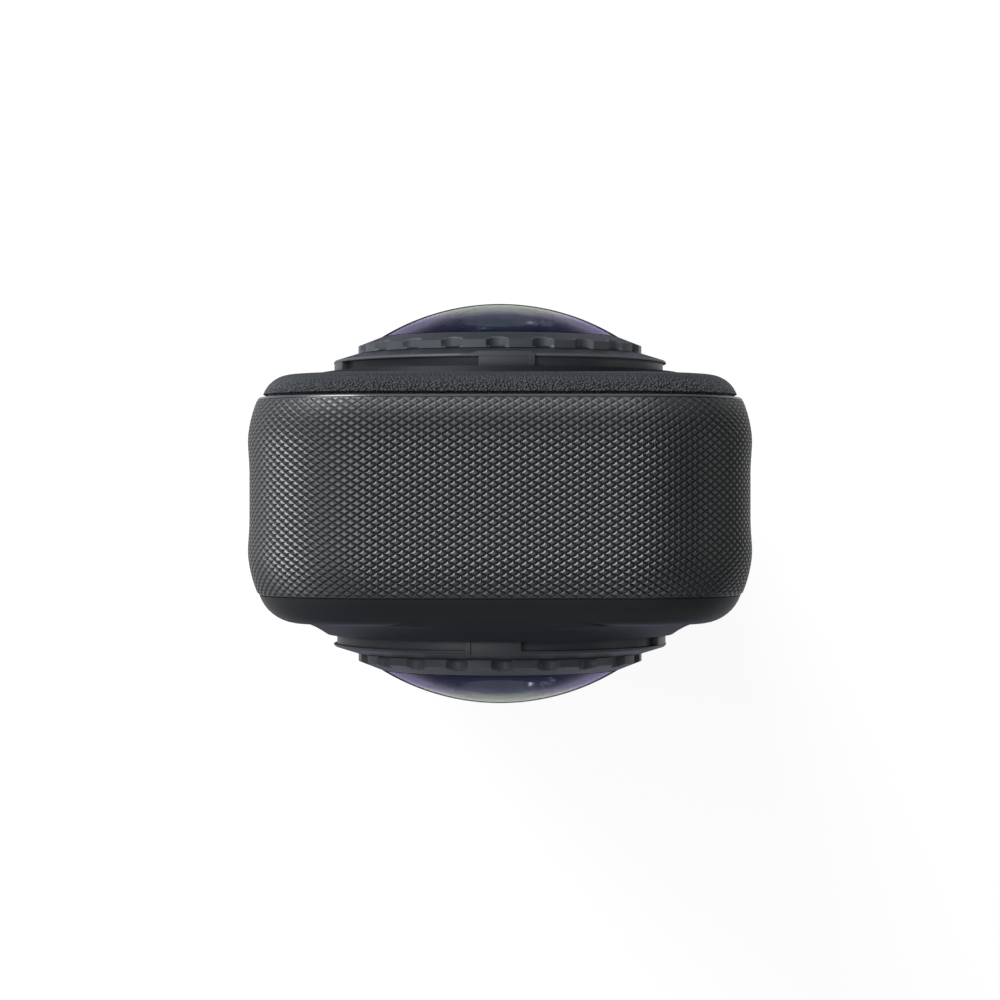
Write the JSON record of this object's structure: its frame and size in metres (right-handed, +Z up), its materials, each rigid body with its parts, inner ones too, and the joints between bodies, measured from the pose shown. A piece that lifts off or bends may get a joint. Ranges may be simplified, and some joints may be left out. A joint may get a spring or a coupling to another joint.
{
  "type": "360 degree camera",
  "caption": "Slim stick camera with a fisheye lens on each face, knurled band, grained front cover, rear screen, press buttons, hinged port door, slide-out battery and tripod thread.",
  "frame": {"origin": "middle of the base, on the surface that the camera stands on", "axes": "+Z up the body, +Y out of the front lens, +X to the right as seen from the screen side"},
  "size_m": [0.046, 0.0378, 0.1245],
  "materials": {
    "shell": "fine satin moulded",
    "knurl": "diamond knurl, satin",
    "grain": "leather grain moulded",
    "seal": "matte",
    "carrier": "as cast",
    "steel": "brushed",
    "brass": "turned",
    "flange": "black anodised satin",
    "barrel": "matte black",
    "lens_glass": "coated polished",
    "inner_glass": "coated polished",
    "board": "solder mask",
    "screen": "polished cover glass",
    "display": "matte",
    "button": "satin",
    "battery": "satin moulded",
    "light": "frosted light guide"
  },
  "bodies": {
    "camera_body": {"base_cap": "shell", "base_plate": "steel", "base_screws": "steel", "tripod_insert": "brass", "mid_frame": "shell", "grip_band": "knurl", "front_cover": "grain", "rear_cover": "shell", "front_trim_ring": "shell", "front_gasket": "seal", "rear_gasket": "seal", "lens_carrier": "carrier", "carrier_screws": "steel", "front_lens_flange": "flange", "front_lens_gasket": "seal", "front_lens_barrel": "barrel", "front_lens_group": "inner_glass", "front_sensor": "board", "rear_lens_flange": "flange", "rear_lens_gasket": "seal", "rear_lens_barrel": "barrel", "rear_lens_group": "inner_glass", "rear_sensor": "board", "screen_glass": "screen", "display_panel": "display", "main_board": "board", "board_screws": "steel", "processor_shield": "steel", "heat_spreader": "carrier", "antenna": "display", "rear_switches": "steel", "side_switch_board": "board", "usb_hinge_pin": "steel", "usb_port": "steel", "usb_board": "board", "battery_bay": "shell", "battery_contacts": "brass", "card_socket": "steel", "speaker": "display", "microphones": "steel", "mic_mesh": "steel", "status_light": "light"},
    "front_outer_lens": {"front_lens_ring": "flange", "front_dome": "lens_glass"},
    "rear_outer_lens": {"rear_lens_ring": "flange", "rear_dome": "lens_glass"},
    "shutter": {"shutter_button": "button"},
    "mode": {"mode_button": "button"},
    "power": {"power_button": "button"},
    "quick": {"quick_button": "button"},
    "usb_flap": {"usb_door": "knurl", "usb_door_seal": "seal"},
    "battery": {"battery_pack": "battery", "battery_door": "knurl", "battery_seal": "seal"},
    "latch": {"battery_latch": "button"}
  },
  "joints": [
    {"name": "shutter_press", "type": "slide", "parent": "camera_body", "child": "shutter", "axis": [0, 1, 0], "range_m": [0, 0.0005], "stiffness_N_per_m": 600},
    {"name": "mode_press", "type": "slide", "parent": "camera_body", "child": "mode", "axis": [0, 1, 0], "range_m": [0, 0.0005], "stiffness_N_per_m": 600},
    {"name": "power_press", "type": "slide", "parent": "camera_body", "child": "power", "axis": [-1, 0, 0], "range_m": [0, 0.0004], "stiffness_N_per_m": 600},
    {"name": "quick_press", "type": "slide", "parent": "camera_body", "child": "quick", "axis": [-1, 0, 0], "range_m": [0, 0.0004], "stiffness_N_per_m": 600},
    {"name": "usb_door_swing", "type": "hinge", "parent": "camera_body", "child": "usb_flap", "pos_m": [0.02125, 0, 0.01015], "axis": [0, 1, 0], "range_deg": [0, 90]},
    {"name": "battery_eject", "type": "slide", "parent": "camera_body", "child": "battery", "axis": [-1, 0, 0], "range_m": [0, 0.041]},
    {"name": "battery_latch_slide", "type": "slide", "parent": "battery", "child": "latch", "axis": [0, 0, 1], "range_m": [0, 0.0022]},
    {"name": "front_lens_twist", "type": "hinge", "parent": "camera_body", "child": "front_outer_lens", "pos_m": [0, 0.0145, 0.102], "axis": [0, 1, 0], "range_deg": [0, 45]},
    {"name": "rear_lens_twist", "type": "hinge", "parent": "camera_body", "child": "rear_outer_lens", "pos_m": [0, -0.0145, 0.102], "axis": [0, -1, 0], "range_deg": [0, 45]}
  ]
}
